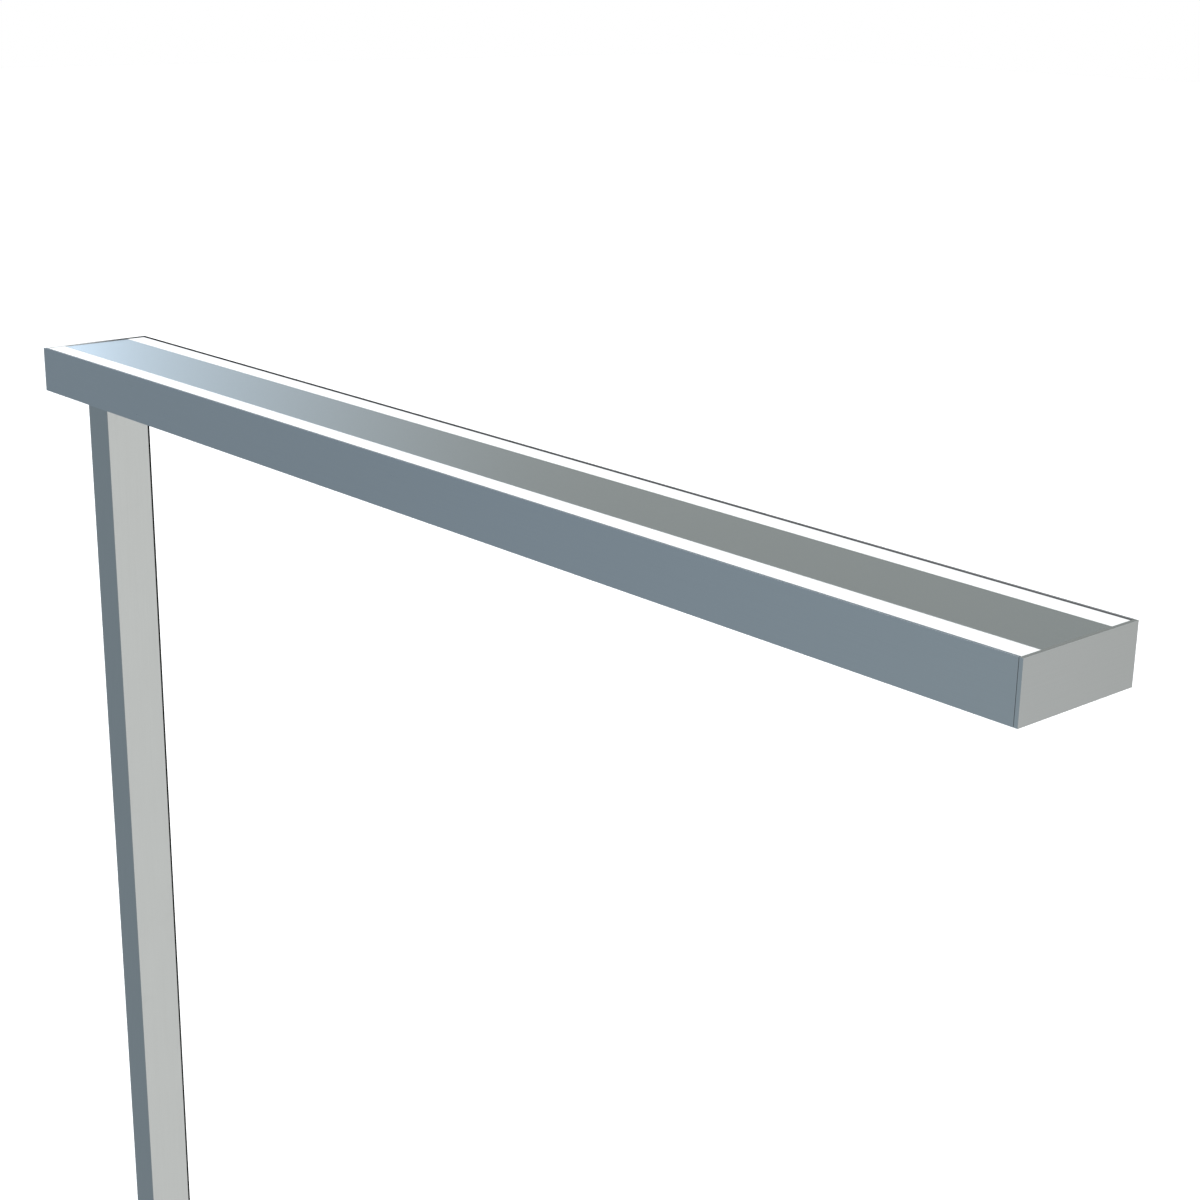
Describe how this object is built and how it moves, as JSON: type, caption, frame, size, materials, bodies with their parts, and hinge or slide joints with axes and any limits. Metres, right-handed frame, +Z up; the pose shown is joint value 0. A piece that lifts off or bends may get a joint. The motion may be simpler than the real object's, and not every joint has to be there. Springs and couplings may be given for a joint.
{
  "type": "desk light bar",
  "caption": "Slim rectangular light bar with two upward light strips and a downward diffuser, carried at one end by a plain post on a desk-edge clamp.",
  "frame": {"origin": "on the desk top, at the clamp's seat pad, straight under the post's axis", "axes": "+Z up along the post, +X along the light bar over the desk, -Y towards the side with the dimmer button"},
  "size_m": [1.2085, 0.112, 1.334],
  "materials": {
    "anodised": "satin anodised",
    "top_panel": "satin anodised, slightly glossier",
    "opal": "opal, lit from inside",
    "black_plastic": "fine matt texture",
    "steel": "zinc plated",
    "painted_steel": "silver grey powder coat",
    "rubber": "matt",
    "board": "white solder mask",
    "driver": "matt white",
    "brass": "turned",
    "grey_lead": "matt sheath",
    "white_lead": "matt sheath"
  },
  "bodies": {
    "luminaire": {"bezel_nut": "brass", "button_bezel": "black_plastic", "cable_bush": "rubber", "clamp_bracket": "painted_steel", "clamp_nut": "steel", "dimmer_lead": "white_lead", "downlight_board_front": "board", "downlight_board_rear": "board", "downlight_diffuser": "opal", "downlight_driver": "driver", "downlight_feed_lead": "grey_lead", "downlight_lead_front": "white_lead", "downlight_lead_rear": "white_lead", "driver_screw_1": "steel", "driver_screw_2": "steel", "driver_screw_3": "steel", "driver_screw_4": "steel", "edge_pad": "rubber", "end_cap_left": "anodised", "end_cap_right": "anodised", "foot_block_screw_1": "steel", "foot_block_screw_2": "steel", "foot_screw_1": "steel", "foot_screw_2": "steel", "foot_screw_3": "steel", "foot_screw_4": "steel", "head_block_screw_1": "steel", "head_block_screw_2": "steel", "head_profile": "anodised", "mains_inlet": "black_plastic", "post_foot_block": "steel", "post_head_block": "steel", "post_mount_plate": "steel", "post_mount_screw_1": "steel", "post_mount_screw_2": "steel", "post_mount_screw_3": "steel", "post_mount_screw_4": "steel", "post_profile": "anodised", "post_rear_cover": "black_plastic", "seat_pad": "rubber", "supply_lead": "grey_lead", "switch_block": "black_plastic", "terminal_block": "driver", "top_panel": "top_panel", "underside_plate": "anodised", "uplight_board_front": "board", "uplight_board_rear": "board", "uplight_diffuser_front": "opal", "uplight_diffuser_rear": "opal", "uplight_driver": "driver", "uplight_feed_lead": "grey_lead", "uplight_lead_front": "white_lead", "uplight_lead_rear": "white_lead"},
    "button": {"dimmer_button": "anodised"},
    "pad": {"pressure_pad": "steel", "pressure_pad_liner": "rubber"},
    "spindle": {"clamp_spindle": "steel", "clamp_knob": "black_plastic", "knob_pin": "steel"}
  },
  "joints": [
    {"name": "button_press", "type": "slide", "parent": "luminaire", "child": "button", "axis": [0, 1, 0], "range_m": [0, 0.0015], "stiffness_N_per_m": 900, "springref_m": -0.001},
    {"name": "pad_travel", "type": "slide", "parent": "luminaire", "child": "pad", "axis": [0, 0, 1], "range_m": [-0.025, 0.01]},
    {"name": "spindle_turn", "type": "hinge", "parent": "pad", "child": "spindle", "pos_m": [0.01, 0, -0.108], "axis": [0, 0, 1], "range_deg": [-5145, 2060]}
  ],
  "couplings": [
    {"joint": "spindle_turn", "follows": "pad_travel", "rad_per_m": 3590.4}
  ]
}
